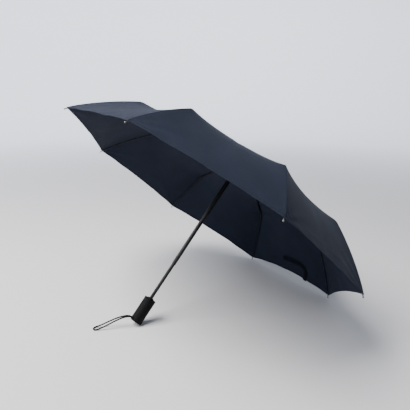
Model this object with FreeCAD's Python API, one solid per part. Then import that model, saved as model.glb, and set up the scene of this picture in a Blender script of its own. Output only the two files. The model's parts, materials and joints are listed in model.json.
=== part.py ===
import FreeCAD, Part
import math
import os

# A three-fold umbrella, open, lying on its handle and two neighbouring rib tips.
# It is built in the shaft's frame, with Z along the shaft from the handle's end to the crown,
# and then leaned over as it lies. Everything is in millimetres and degrees.

V = FreeCAD.Vector

# Frame
rib_count = 8
rib_pitch = 360.0 / rib_count
crown_hinge_r = 9.5
crown_hinge_z = 562.0
upper_length = 164.0
middle_length = 164.0
outer_length = 209.5
upper_slope = 8.3  # below the horizontal plane of the crown, open
outer_slope = 42.3
outer_bow = 6.5  # the outer rod is bent towards the fabric by its pull
folded_lean = 1.2  # of the folded ribs from the shaft
clearance = 0.3  # between moving parts side by side
running = 0.05  # radial clearance of a pin or a sliding tube

# Rib sections
rib_width = 3.0
rib_height = 2.6
rib_wall = 0.5
fork_width = 3.4
tongue_width = 1.2
ear_radius = 1.6
rivet_radius = 0.8
rivet_head_radius = 1.25
rivet_head = 0.35
knuckle_reach = 8.0
section_setback = 2.4  # from a knuckle's pivot to the channel's end
inner_knuckle = 2.0  # height of the first knuckle's pivot above the rib's middle line
outer_knuckle = 1.9  # depth of the second knuckle's pivot below it
rod_radius = 1.3
ferrule_radius = 1.7
ferrule_start = 6.0
ferrule_length = 9.0
tip_sleeve_radius = 1.5
tip_sleeve_length = 14.0
tip_ball_radius = 2.1

# Stretchers
stretcher_station = 83.0  # from the crown hinge to the stretcher's rivet
stretcher_length = 90.0
stretcher_wall = 0.5
stretcher_web_depth = 1.6
stretcher_web_start = 7.5
stretcher_wall_height = 1.2  # above the line through its two pivots
stretcher_ear_radius = 2.0
blade_length = 26.0
blade_slim_length = 14.0  # the blade's last stretch, which passes through the runner's slot
blade_width = 2.4
blade_overlap = 4.0  # the blade's root inside the channel
blade_pin_radius = 0.7
blade_pin_length = 2.9

# Tubes
top_tube_r = 6.75
middle_tube_r = 5.9
bottom_tube_r = 4.9
tube_wall = 0.5
top_tube_end = 368.0
top_collar_end = 350.0
top_collar_r = 6.6
top_tube_top = 556.0
middle_tube_end = 195.0
middle_collar_end = 192.0
middle_tube_top = 384.0
bottom_tube_end = 8.0
bottom_tube_top = 210.0
glide_length = 9.0
collar_sleeve = 5.0
closed_gap = 1.0  # from the handle's neck to the middle collar, closed

# Crown and cap
crown_r = 12.5
crown_bottom = 556.0
crown_top = 568.0
crown_spigot = 14.0
crown_slot_floor_r = 7.2
crown_slot_roof = 564.4
crown_wire_r = 0.8
hinge_eye_radius = 1.8
cap_r = 13.0
cap_bottom = 571.0
cap_top = 577.0
cap_stem_r = 4.0
cap_edge = 1.5  # height of the cap's rim
edge_round = 1.0  # on the crown's and the handle neck's upper edges
beyond = 20.0  # past every outer face, for a cut that runs right out
past = 1.0  # a cut starts this far before the face that it opens

# Runner
runner_head_r = 13.0
runner_head_half = 5.0
runner_slot_width = 3.2
runner_slot_floor_r = 7.6
runner_sleeve_r = 8.2
runner_sleeve_length = 20.0
runner_flange_r = 9.6
runner_flange = 3.0
snap_wire_r = 0.5
snap_groove_depth = 0.3
snap_groove_station = 4.0  # from the runner's flange up to the groove
snap_room_depth = 0.25  # beyond the wire, inside the runner
snap_room_half = 0.8
snap_gap_deg = 40.0

# Handle
handle_r = 17.3
handle_length = 75.0
handle_wall = 2.6
handle_edge = 2.0
rim_notch_width = 5.0
rim_notch_depth = 4.0
core_top = 71.0
neck_r = 9.5
neck_top = 78.0
end_cap_top = 5.0
pin_r = 1.25
pin_z = 40.0
strap_exit_z = 7.0
strap_exit_y = 2.8
eyelet_length = 12.0
eyelet_width = 6.4
eyelet_height = 0.8
hole_depth = 8.0  # of the cord's two holes

# Canopy: points of a gore in (distance from the shaft, height), along the rib and along its middle
fabric = 0.7
seam_gap = 0.3
canopy_centre = (6.0, 570.2)
knee_corner = (335.7, 518.6)
hem_corner = (486.5, 381.7)
knee_sag = 20.0
inner_sag = 7.0
outer_sag = 15.0
hem_sag = 2.0
hem_scallop = 11.0

# Tie strap: stations on the gore over the floor, as (share from knee to hem, share across)
tie_stations = [(0.985, -0.26), (0.90, -0.24), (0.82, -0.12), (0.78, 0.06), (0.74, 0.24)]
tie_half_width = 7.5
tie_thickness = 1.0
tie_clear = 1.6

# Wrist strap: a closed loop of round cord, from one hole in the handle's side back into the next
cord_r = 2.0
cord_route = [
    (-250.4, 2.8, 25.7), (-257.8, 2.8, 32.0), (-266.2, 8.5, 33.0), (-278.4, 16.5, 29.8),
    (-293.9, 25.0, 23.6), (-310.1, 33.3, 15.6), (-326.2, 40.4, 7.9), (-335.4, 44.8, 4.4),
    (-343.3, 47.9, 2.4), (-349.5, 45.4, 2.2), (-352.2, 39.4, 2.2), (-349.7, 33.2, 2.4),
    (-341.3, 29.7, 3.9), (-332.2, 26.4, 7.2), (-315.7, 20.5, 14.8), (-298.5, 14.4, 22.8),
    (-281.8, 8.7, 29.4), (-268.4, 2.3, 32.9), (-257.8, -2.8, 32.0), (-250.4, -2.8, 25.7),
]


# Worked out from the driving dimensions
def direction(slope):
    """Unit vector (r, z) of a rib segment that falls by slope degrees going outward."""
    return (math.cos(math.radians(slope)), -math.sin(math.radians(slope)))


def offset(point, slope, along, above):
    """The point that lies along and above a segment's line from a point in (r, z)."""
    u = direction(slope)
    return (point[0] + along * u[0] - above * u[1], point[1] + along * u[1] + above * u[0])


hinge = (crown_hinge_r, crown_hinge_z)
inner_pivot = offset(hinge, upper_slope, upper_length, inner_knuckle)
outer_pivot = offset(hinge, upper_slope, upper_length + middle_length, -outer_knuckle)
outer_start = offset(outer_pivot, outer_slope, 0.0, outer_knuckle)
tip = offset(outer_start, outer_slope, outer_length - tip_ball_radius, 0.0)
stretcher_pivot = offset(hinge, upper_slope, stretcher_station, 0.0)
stretcher_reach = stretcher_pivot[0] - crown_hinge_r
runner_hinge_z = stretcher_pivot[1] - math.sqrt(stretcher_length**2 - stretcher_reach**2)
stretcher_slope = math.degrees(math.atan2(stretcher_pivot[1] - runner_hinge_z, stretcher_reach))
# folded: the stretcher's inner end comes back to the same distance from the shaft
folded_reach = stretcher_station * math.sin(math.radians(folded_lean))
folded_stretcher_lean = math.degrees(math.asin(folded_reach / stretcher_length))
folded_drop = (
    stretcher_station * math.cos(math.radians(folded_lean))
    + stretcher_length * math.cos(math.radians(folded_stretcher_lean))
)
fold_travel = folded_drop - (crown_hinge_z - runner_hinge_z)
upper_fold = 90.0 - upper_slope - folded_lean
stretcher_fold = 90.0 - stretcher_slope + upper_fold - folded_stretcher_lean
middle_fold = 90.0 + upper_slope + upper_fold
outer_fold = 90.0 + upper_slope + 90.0 - outer_slope
middle_tube_travel = middle_collar_end - neck_top - closed_gap
head_travel = top_collar_end - middle_tube_end
snap_groove_z = runner_hinge_z - runner_sleeve_length + runner_flange + snap_groove_station
snap_ring_r = top_tube_r + snap_wire_r - snap_groove_depth
wire_vertex_r = crown_hinge_r / math.cos(math.radians(rib_pitch / 2))


def azimuth(k):
    """Azimuth of rib k in the shaft's frame; ribs 5 and 6 are the two that touch the floor."""
    return rib_pitch * (k - 5.5)


def resting_lean():
    """Angle of the shaft from upright with the handle's edge and two rib tips on one plane."""
    across = tip[0] * math.cos(math.radians(rib_pitch / 2)) - (handle_r - handle_edge)
    along = tip[1] - handle_edge
    drop = handle_edge - tip_ball_radius
    return math.degrees(math.atan2(along, across) + math.asin(drop / math.hypot(along, across)))


lean = resting_lean()
lift = (
    (handle_r - handle_edge) * math.sin(math.radians(lean))
    - handle_edge * math.cos(math.radians(lean))
    + handle_edge
)
# the tips make the object's box, and its middle is the origin
rest_shift = -tip[1] * math.sin(math.radians(lean))
as_it_lies = FreeCAD.Placement(V(rest_shift, 0, lift), FreeCAD.Rotation(V(0, 1, 0), lean))


# Small solids in a rib's own plane: x along the rib, y across it, z towards the fabric
def block(x0, x1, y0, y1, z0, z1):
    return Part.makeBox(x1 - x0, y1 - y0, z1 - z0, V(x0, y0, z0))


def cross_pin(radius, half_length, x, z):
    return Part.makeCylinder(radius, 2 * half_length, V(x, -half_length, z), V(0, 1, 0))


def ring(r_in, r_out, z0, z1):
    outer = Part.makeCylinder(r_out, z1 - z0, V(0, 0, z0))
    return outer.cut(Part.makeCylinder(r_in, z1 - z0 + 2 * past, V(0, 0, z0 - past)))


def channel(x0, x1, width):
    """A pressed channel whose web is on the fabric's side."""
    half = rib_height / 2
    body = block(x0, x1, -width / 2, width / 2, -half, half)
    inside = width / 2 - rib_wall
    return body.cut(block(x0 - past, x1 + past, -inside, inside, -half - past, half - rib_wall))


def fuse(shapes):
    return shapes[0].multiFuse(shapes[1:]).removeSplitter()


def edges_at(shape, z):
    """The edges of a shape that lie flat at a height."""
    return [e for e in shape.Edges if abs(e.BoundBox.ZMin - z) + abs(e.BoundBox.ZMax - z) < 0.02]


def pair(solid_of_side):
    """A left and a right copy of what a function makes for side -1 and +1."""
    return [solid_of_side(-1), solid_of_side(1)]


def knuckle_cheek(y0, y1, x, pivot_z, towards):
    """A flat cheek of a knuckle, with its round head on the pivot and its foot on the rib."""
    half = rib_height / 2
    low, high = sorted((y0, y1))
    head = Part.makeCylinder(ear_radius, high - low, V(x, low, pivot_z), V(0, 1, 0))
    far = half if pivot_z < 0 else -half
    post = block(x - ear_radius, x + ear_radius, low, high, min(pivot_z, far), max(pivot_z, far))
    foot = block(min(x, x + towards), max(x, x + towards), low, high, -half, half)
    return fuse([head, post, foot])


def tongue(x, pivot_z):
    """The single middle cheek at a rib's outer end."""
    half = tongue_width / 2
    cheek = knuckle_cheek(-half, half, x, pivot_z, -knuckle_reach)
    return cheek.cut(cross_pin(rivet_radius + running, rib_width, x, pivot_z))


def fork(x, pivot_z):
    """The two cheeks at the next rib's inner end, which hold the rivet."""
    inside = tongue_width / 2 + clearance

    def cheek(side):
        return knuckle_cheek(side * inside, side * fork_width / 2, x, pivot_z, knuckle_reach)

    return [c.cut(cross_pin(rivet_radius, rib_width, x, pivot_z)) for c in pair(cheek)]


def rivet(x, z, grip_half):
    shank = cross_pin(rivet_radius, grip_half, x, z)
    ends = [
        Part.makeCylinder(rivet_head_radius, rivet_head, V(x, grip_half, z), V(0, 1, 0)),
        Part.makeCylinder(rivet_head_radius, rivet_head, V(x, -grip_half, z), V(0, -1, 0)),
    ]
    return fuse([shank] + ends)


# One rib, each piece with its own hinge at x = 0 of its own line
def upper_rib():
    eye = cross_pin(hinge_eye_radius, rib_width / 2, 0, 0)
    body = channel(0, upper_length - section_setback, rib_width)
    shape = fuse([eye, body, tongue(upper_length, inner_knuckle)])
    shape = shape.cut(cross_pin(crown_wire_r + running, rib_width, 0, 0))
    shape = shape.cut(cross_pin(rivet_radius + running, rib_width, stretcher_station, 0))
    return [shape]


def middle_rib():
    half = fork_width / 2
    body = channel(section_setback, middle_length - section_setback, fork_width)
    pieces = [body] + fork(0, inner_knuckle) + [tongue(middle_length, -outer_knuckle)]
    return [fuse(pieces), rivet(0, inner_knuckle, half)]


def bowed_rod(radius, x0, x1):
    """A stretch of the outer rib, from x0 to x1, on the arc that the fabric's pull bends it to."""
    span = outer_length - tip_ball_radius - ferrule_start
    bend = span**2 / (8 * outer_bow) + outer_bow / 2
    centre = V(ferrule_start + span / 2, 0, outer_bow - bend)
    start, end = (math.asin((x - centre.x) / bend) for x in (x0, x1))
    place = centre + V(bend * math.sin(start), 0, bend * math.cos(start))
    along = V(math.cos(start), 0, -math.sin(start))
    section = Part.Face(Part.Wire(Part.Circle(place, along, radius).toShape()))
    return section.revolve(centre, V(0, 1, 0), math.degrees(end - start))


def outer_rib():
    half = fork_width / 2
    rod = bowed_rod(rod_radius, ferrule_start, outer_length - tip_sleeve_length)
    ferrule = bowed_rod(ferrule_radius, ferrule_start, ferrule_start + ferrule_length)
    return [fuse(fork(0, -outer_knuckle) + [ferrule, rod]), rivet(0, -outer_knuckle, half)]


def rib_tip():
    """A pressed tip: a sleeve on the rod's end that closes into a small ball."""
    end = outer_length - tip_ball_radius
    sleeve = bowed_rod(tip_sleeve_radius, outer_length - tip_sleeve_length, end)
    return [fuse([sleeve, Part.makeSphere(tip_ball_radius, V(end, 0, 0))])]


def stretcher():
    """A wider channel that takes the folded rib inside it; x runs from its rivet to the runner."""
    inside = rib_width / 2 + clearance
    outside = inside + stretcher_wall
    web_low = -stretcher_web_depth - stretcher_wall
    wall_high = stretcher_wall_height
    blade_start = stretcher_length - blade_length
    slim_start = stretcher_length - blade_slim_length
    channel_end = blade_start + blade_overlap
    half_blade = blade_width / 2

    def wall(side):
        low, high = sorted((side * inside, side * outside))
        return block(0, channel_end, low, high, web_low, wall_high)

    def ear(side):
        low, high = sorted((side * inside, side * outside))
        return Part.makeCylinder(stretcher_ear_radius, high - low, V(0, low, 0), V(0, 1, 0))

    web = block(stretcher_web_start, channel_end, -outside, outside, web_low, -stretcher_web_depth)
    eye = cross_pin(ear_radius, half_blade, stretcher_length, 0)
    blade = block(blade_start, slim_start, -half_blade, half_blade, web_low, wall_high)
    neck = block(blade_start, stretcher_length, -half_blade, half_blade, -wall_high, wall_high)
    # the walls' lower corners are cut back so that they clear the folded rib
    corner_end = stretcher_web_start - stretcher_ear_radius
    corner = block(-past, corner_end, -rib_width, rib_width, web_low - past, -wall_high - running)
    shape = fuse(pair(wall) + pair(ear) + [web, blade, neck, eye])
    shape = shape.cut(corner)
    shape = shape.cut(cross_pin(rivet_radius, rib_width, 0, 0))
    shape = shape.cut(cross_pin(blade_pin_radius, rib_width, stretcher_length, 0))
    stub = cross_pin(blade_pin_radius, blade_pin_length / 2, stretcher_length, 0)
    return [shape, rivet(0, 0, outside), stub]


# Shaft
def tube(radius, z0, z1):
    return ring(radius - tube_wall, radius, z0, z1)


def collar(outer_r, inner_tube_r, tube_r, z0, z1):
    """A bush at a tube's lower end: a visible ring and a sleeve pressed inside the tube."""
    bore = inner_tube_r + running
    seen = ring(bore, outer_r, z0, z1)
    return fuse([seen, ring(bore, tube_r - tube_wall, z1, z1 + collar_sleeve)])


def glide(tube_r, outer_tube_r, top):
    """A bush round a tube's upper end that runs inside the next tube."""
    return ring(tube_r, outer_tube_r - tube_wall - running, top - glide_length, top)


def bottom_tube():
    return tube(bottom_tube_r, bottom_tube_end, bottom_tube_top).cut(handle_pin_hole())


def top_tube():
    """The widest tube, with the rolled groove that the open runner's snap ring drops into."""
    body = tube(top_tube_r, top_tube_end, top_tube_top)
    return body.cut(Part.makeTorus(snap_ring_r, snap_wire_r + running, V(0, 0, snap_groove_z)))


# Crown
def slots(width, floor_r, z0, z1):
    """Radial slots, one for each rib, from a floor radius outward."""
    cuts = []
    for k in range(1, rib_count + 1):
        cut = block(floor_r, beyond, -width / 2, width / 2, z0, z1)
        cut.rotate(V(0, 0, 0), V(0, 0, 1), azimuth(k))
        cuts.append(cut)
    return cuts


def crown_wire():
    """An eight-sided loop of wire; each straight side is the hinge pin of one rib."""
    pieces = []
    for k in range(1, rib_count + 1):
        start, end = (math.radians(azimuth(k) + half * rib_pitch / 2) for half in (-1, 1))
        a = V(wire_vertex_r * math.cos(start), wire_vertex_r * math.sin(start), crown_hinge_z)
        b = V(wire_vertex_r * math.cos(end), wire_vertex_r * math.sin(end), crown_hinge_z)
        pieces.append(Part.makeCylinder(crown_wire_r, (b - a).Length, a, b - a))
        pieces.append(Part.makeSphere(crown_wire_r, a))
    return fuse(pieces)


def crown():
    spigot_start = V(0, 0, crown_bottom - crown_spigot)
    spigot = Part.makeCylinder(top_tube_r - tube_wall, crown_spigot, spigot_start)
    head = Part.makeCylinder(crown_r, crown_top - crown_bottom, V(0, 0, crown_bottom))
    head = head.makeFillet(edge_round, edges_at(head, crown_top))
    body = fuse([spigot, head])
    width = rib_width + 2 * clearance
    cuts = slots(width, crown_slot_floor_r, crown_bottom - past, crown_slot_roof)
    return body.cut(Part.makeCompound(cuts)).cut(crown_wire())


def top_cap():
    """The button over the middle of the canopy, on a stem down to the crown."""
    rise = cap_top - cap_bottom - cap_edge
    sphere_r = (cap_r**2 + rise**2) / (2 * rise)
    dome = Part.makeSphere(sphere_r, V(0, 0, cap_top - sphere_r))
    disc = Part.makeCylinder(cap_r, cap_top - cap_bottom, V(0, 0, cap_bottom))
    stem = Part.makeCylinder(cap_stem_r, cap_bottom - crown_top, V(0, 0, crown_top))
    return fuse([disc.common(dome), stem])


# Runner
def runner():
    bore = top_tube_r + running
    z = runner_hinge_z
    low = z - runner_sleeve_length
    head = ring(bore, runner_head_r, z - runner_head_half, z + runner_head_half)
    cuts = Part.makeCompound(slots(runner_slot_width, runner_slot_floor_r, z - beyond / 2, z + beyond))
    head = head.cut(cuts)
    sleeve = ring(bore, runner_sleeve_r, low, z + runner_head_half)
    flange = ring(bore, runner_flange_r, low, low + runner_flange)
    body = fuse([head, sleeve.cut(cuts), flange])
    room_r = snap_ring_r + snap_wire_r + snap_room_depth
    return body.cut(ring(top_tube_r, room_r, snap_groove_z - snap_room_half, snap_groove_z + snap_room_half))


def snap_ring():
    """An open wire ring in the runner that drops into the tube's groove when the umbrella is open."""
    place = V(0, 0, snap_groove_z)
    return Part.makeTorus(snap_ring_r, snap_wire_r, place, V(0, 0, 1), 0, 360, 360 - snap_gap_deg)


# Handle
def handle_shell():
    outer = Part.makeCylinder(handle_r, handle_length)
    outer = outer.makeFillet(handle_edge, edges_at(outer, 0))
    inside = handle_r - handle_wall
    shell = outer.cut(Part.makeCylinder(inside, handle_length + 2 * past, V(0, 0, -past)))
    for k in range(rib_count):
        notch = block(inside - past, handle_r + past, -rim_notch_width / 2, rim_notch_width / 2,
                      handle_length - rim_notch_depth, handle_length + past)
        notch.rotate(V(0, 0, 0), V(0, 0, 1), azimuth(k))
        shell = shell.cut(notch)
    return shell.cut(strap_holes())


def handle_pin_hole():
    return Part.makeCylinder(pin_r, 2 * handle_r, V(0, -handle_r, pin_z), V(0, 1, 0))


def handle_core():
    """The solid core that holds the bottom tube, with a neck that stands above the rim."""
    body = Part.makeCylinder(handle_r - handle_wall, core_top - end_cap_top, V(0, 0, end_cap_top))
    neck = Part.makeCylinder(neck_r, neck_top - core_top, V(0, 0, core_top))
    neck = neck.makeFillet(edge_round, edges_at(neck, neck_top))
    bore = Part.makeCylinder(bottom_tube_r, neck_top, V(0, 0, bottom_tube_end))
    return fuse([body, neck]).cut(bore).cut(handle_pin_hole())


def handle_end_cap():
    return Part.makeCylinder(handle_r - handle_wall, end_cap_top)


def handle_pin():
    """The cross pin that holds the bottom tube in the core, covered by the shell."""
    reach = handle_r - handle_wall - clearance
    return Part.makeCylinder(pin_r, 2 * reach, V(0, -reach, pin_z), V(0, 1, 0))


def strap_holes():
    """Two holes side by side that take the cord's ends."""

    def hole(side):
        start = V(-handle_r - eyelet_height - past, side * strap_exit_y, strap_exit_z)
        return Part.makeCylinder(cord_r, hole_depth, start, V(1, 0, 0))

    return Part.makeCompound(pair(hole))


def strap_eyelet():
    """A flat oval plate on the handle's side that the two cord ends come out of."""
    straight = eyelet_length / 2 - eyelet_width / 2
    face_x = -handle_r - eyelet_height
    depth = 2 * eyelet_height
    plate = block(face_x, face_x + depth, -straight, straight,
                  strap_exit_z - eyelet_width / 2, strap_exit_z + eyelet_width / 2)

    def end(side):
        centre = V(face_x, side * straight, strap_exit_z)
        return Part.makeCylinder(eyelet_width / 2, depth, centre, V(1, 0, 0))

    body = fuse([plate] + pair(end)).cut(Part.makeCylinder(handle_r, handle_length))
    return body.cut(strap_holes())


# Canopy
def lerp(a, b, share):
    return tuple(p + (q - p) * share for p, q in zip(a, b))


def sag(point, slope, depth):
    """A point in (r, z) moved inward, square to a slope."""
    return offset(point, slope, 0.0, -depth)


def gore_rows():
    """Five rows from the centre to the hem, each (rib point, middle point, slope) in (r, z)."""
    chord = math.cos(math.radians(rib_pitch / 2))
    rib_points = [
        canopy_centre,
        lerp(canopy_centre, knee_corner, 0.5),
        knee_corner,
        lerp(knee_corner, hem_corner, 0.5),
        hem_corner,
    ]
    knee_slope = (upper_slope + outer_slope) / 2
    slopes = [upper_slope, upper_slope, knee_slope, outer_slope, outer_slope]
    sags = [0.0, inner_sag, knee_sag, outer_sag, hem_sag]
    bows = [0.0, 0.0, 0.0, outer_bow, 0.0]
    rows = []
    for point, slope, depth, bow in zip(rib_points, slopes, sags, bows):
        middle = sag((point[0] * chord, point[1]), slope, depth)
        rows.append([sag(point, slope, -bow), middle, slope])
    rows[-1][1] = offset(rows[-1][1], outer_slope, -hem_scallop, 0.0)
    return rows


def gore_pole_rows(depth):
    """The five rows as the poles of quadratics across the gore, moved inward by a depth."""
    half = math.radians(rib_pitch / 2)
    points = []
    for rib_point, middle, slope in gore_rows():
        rib_point = sag(rib_point, slope, depth)
        middle = sag(middle, slope, depth)
        turn = half - math.asin(seam_gap / 2 / rib_point[0])
        near = rib_point[0] * math.cos(turn)
        aside = rib_point[0] * math.sin(turn)
        side = [V(near, -aside, rib_point[1]), V(near, aside, rib_point[1])]
        centre = V(middle[0], 0, middle[1])
        pole = centre * 2 - (side[0] + side[1]) * 0.5
        points.append([side[0], pole, side[1]])
    return points


def through_middle(a, b, c):
    """The middle pole that makes a quadratic from a to c pass through b."""
    return b * 2 - (a + c) * 0.5


def gore_patch(rows):
    """One quadratic patch through three rows of points."""
    middle = [through_middle(a, b, c) for a, b, c in zip(*rows)]
    surface = Part.BezierSurface()
    surface.increase(2, 2)
    for i, row in enumerate((rows[0], middle, rows[2])):
        for j, pole in enumerate(row):
            surface.setPole(i + 1, j + 1, pole)
    return surface


def gore_surfaces(depth):
    rows = gore_pole_rows(depth)
    return gore_patch(rows[0:3]), gore_patch(rows[2:5])


def gore():
    """One gore: an outer and an inner skin of two patches each, closed along its four sides."""
    outer = gore_surfaces(0.0)
    inner = gore_surfaces(fabric)
    faces = [s.toShape() for s in outer + inner]

    def wall(out, inn, which):
        return Part.makeRuledSurface(which(out).toShape(), which(inn).toShape())

    for out, inn in zip(outer, inner):
        faces.append(wall(out, inn, lambda s: s.vIso(0)))
        faces.append(wall(out, inn, lambda s: s.vIso(1)))
    faces.append(wall(outer[0], inner[0], lambda s: s.uIso(0)))
    faces.append(wall(outer[1], inner[1], lambda s: s.uIso(1)))
    shell = Part.makeShell(faces)
    shell.sewShape()
    solid = Part.makeSolid(shell)
    if solid.Volume < 0:
        solid.reverse()
    return solid


def tie_strap():
    """The flat strap sewn to the hem, lying on the inside of the gore between the resting ribs."""
    surface = gore_surfaces(fabric)[1]
    sections = []
    middles = []
    for share, across in tie_stations:
        u, v = share, 0.5 + across / 2
        point = surface.value(u, v)
        normal = surface.normal(u, v)
        if normal.x > 0:
            normal = normal * -1
        middles.append((point + normal * tie_clear, normal))
    for i, (point, normal) in enumerate(middles):
        before = middles[max(i - 1, 0)][0]
        after = middles[min(i + 1, len(middles) - 1)][0]
        along = (after - before).normalize()
        side = along.cross(normal).normalize()
        up = side.cross(along).normalize()
        if up.dot(normal) < 0:
            up = up * -1
        corners = [
            point - side * tie_half_width,
            point + side * tie_half_width,
            point + side * tie_half_width + up * tie_thickness,
            point - side * tie_half_width + up * tie_thickness,
        ]
        sections.append(Part.makePolygon(corners + [corners[0]]))
    return Part.makeLoft(sections, True, True)


# Wrist strap
def cord(route, radius):
    """A round cord: straight runs joined by tangent arcs as large as the runs allow."""
    points = [V(*p) for p in route]
    edges = []
    radii = []
    start = points[0]
    for before, at, after in zip(points, points[1:], points[2:]):
        run_in = at - before
        run_out = after - at
        turn = run_in.getAngle(run_out)
        arc_radius = 0.45 * min(run_in.Length, run_out.Length) / math.tan(turn / 2)
        reach = arc_radius * math.tan(turn / 2)
        back = V(run_in).normalize() * -reach
        on = V(run_out).normalize() * reach
        inward = (back + on).normalize()
        centre = at + inward * (arc_radius / math.cos(turn / 2))
        middle = centre - inward * arc_radius
        edges.append(Part.LineSegment(start, at + back).toShape())
        edges.append(Part.Arc(at + back, middle, at + on).toShape())
        start = at + on
        radii.append(round(arc_radius, 1))
    edges.append(Part.LineSegment(start, points[-1]).toShape())
    path = Part.Wire(edges)
    section = Part.Wire([Part.Circle(points[0], points[1] - points[0], radius).toShape()])
    solid = path.makePipeShell([section], True, True)
    print("cord arc radii", radii)
    expected = math.pi * radius**2 * path.Length
    print(f"cord length {path.Length:.1f} volume {solid.Volume:.1f} of {expected:.1f}")
    return solid


# Writing
def write(node, solids, leaned=True):
    """Writes one node's solids, leaned over as the umbrella lies."""
    placed = []
    for solid in solids:
        solid = solid.copy()
        if leaned:
            solid.Placement = as_it_lies.multiply(solid.Placement)
        placed.append(solid)
        if not solid.isValid() or solid.Volume <= 0:
            print("check this solid:", node, solid.Volume, solid.isValid())
    shape = placed[0] if len(placed) == 1 else Part.makeCompound(placed)
    shape.exportStep(f"parts/{node}.step")


def in_rib_plane(solids, start, slope, k):
    """Solids of one rib piece moved from their own line to rib k."""
    placed = []
    for solid in solids:
        solid = solid.copy()
        solid.rotate(V(0, 0, 0), V(0, 1, 0), slope)
        solid.translate(V(start[0], 0, start[1]))
        solid.rotate(V(0, 0, 0), V(0, 0, 1), azimuth(k))
        placed.append(solid)
    return placed


def write_ribs():
    upper = upper_rib()
    middle = middle_rib()
    outer = outer_rib()
    end = rib_tip()
    strut = stretcher()
    middle_start = offset(hinge, upper_slope, upper_length, 0.0)
    for k in range(1, rib_count + 1):
        write(f"upper_rib_{k}", in_rib_plane(upper, hinge, upper_slope, k))
        write(f"middle_rib_{k}", in_rib_plane(middle, middle_start, upper_slope, k))
        write(f"outer_rib_{k}", in_rib_plane(outer, outer_start, outer_slope, k))
        write(f"rib_tip_{k}", in_rib_plane(end, outer_start, outer_slope, k))
        write(f"stretcher_{k}", in_rib_plane(strut, stretcher_pivot, 180.0 - stretcher_slope, k))


def write_shaft():
    top_bush = collar(top_collar_r, middle_tube_r, top_tube_r, top_collar_end, top_tube_end)
    middle_bush = collar(middle_tube_r, bottom_tube_r, middle_tube_r, middle_collar_end, middle_tube_end)
    write("top_tube", [top_tube()])
    write("top_collar", [top_bush])
    write("middle_tube", [tube(middle_tube_r, middle_tube_end, middle_tube_top)])
    write("middle_glide", [glide(middle_tube_r, top_tube_r, middle_tube_top)])
    write("middle_collar", [middle_bush])
    write("bottom_tube", [bottom_tube()])
    write("bottom_glide", [glide(bottom_tube_r, middle_tube_r, bottom_tube_top)])
    write("crown", [crown()])
    write("crown_wire", [crown_wire()])
    write("top_cap", [top_cap()])
    write("runner", [runner()])
    write("runner_snap_ring", [snap_ring()])


def write_handle():
    write("handle_shell", [handle_shell()])
    write("handle_core", [handle_core()])
    write("handle_end_cap", [handle_end_cap()])
    write("handle_pin", [handle_pin()])
    write("strap_eyelet", [strap_eyelet()])
    write("wrist_strap", [cord(cord_route, cord_r)], leaned=False)


def write_canopy():
    panel = gore()
    gores = []
    for k in range(1, rib_count + 1):
        turned = panel.copy()
        turned.rotate(V(0, 0, 0), V(0, 0, 1), azimuth(k) + rib_pitch / 2)
        gores.append(turned)
    write("canopy", gores)
    write("closure_strap", [tie_strap()])


def main():
    os.makedirs("parts", exist_ok=True)
    write_handle()
    write_shaft()
    write_ribs()
    write_canopy()
    print(f"lean {lean:.2f}, shift {rest_shift:.2f}, lift {lift:.2f}")
    print(f"runner hinge z {runner_hinge_z:.1f}, fold travel {fold_travel:.2f}")


if __name__ == "__main__":
    main()
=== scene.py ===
import json
import math

import bpy
import numpy as np
from mathutils import Matrix, Vector


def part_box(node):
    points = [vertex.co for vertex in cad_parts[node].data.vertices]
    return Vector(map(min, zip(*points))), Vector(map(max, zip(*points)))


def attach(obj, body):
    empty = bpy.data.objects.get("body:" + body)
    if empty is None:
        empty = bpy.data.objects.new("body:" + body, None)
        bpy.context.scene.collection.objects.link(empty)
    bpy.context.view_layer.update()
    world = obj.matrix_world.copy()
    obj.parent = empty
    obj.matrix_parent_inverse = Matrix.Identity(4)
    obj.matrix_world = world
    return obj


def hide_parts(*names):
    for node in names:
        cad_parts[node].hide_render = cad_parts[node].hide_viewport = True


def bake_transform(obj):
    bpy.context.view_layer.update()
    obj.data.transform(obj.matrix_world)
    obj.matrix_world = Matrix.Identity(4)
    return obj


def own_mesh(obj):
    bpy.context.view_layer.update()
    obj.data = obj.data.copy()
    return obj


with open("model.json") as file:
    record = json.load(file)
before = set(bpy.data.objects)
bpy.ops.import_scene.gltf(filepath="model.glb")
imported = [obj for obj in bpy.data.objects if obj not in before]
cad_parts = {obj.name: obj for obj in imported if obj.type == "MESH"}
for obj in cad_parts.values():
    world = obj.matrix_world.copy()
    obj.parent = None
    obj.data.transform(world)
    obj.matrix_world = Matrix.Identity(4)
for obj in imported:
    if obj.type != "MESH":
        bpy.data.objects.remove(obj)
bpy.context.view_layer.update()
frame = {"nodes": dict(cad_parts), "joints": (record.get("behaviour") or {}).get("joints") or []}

joints = {joint["name"]: joint for joint in frame["joints"]}
ribCount = 8
mm = 0.001

# the camera and the wrist cord come first

camera = {
    "place": (-0.7505, -1.0591, 0.6902),
    "heading": 34.905,  # degrees from +Y towards +X
    "down": 16.113,
    "roll": 0.946,
    "lens": 40.62,
}

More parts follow.
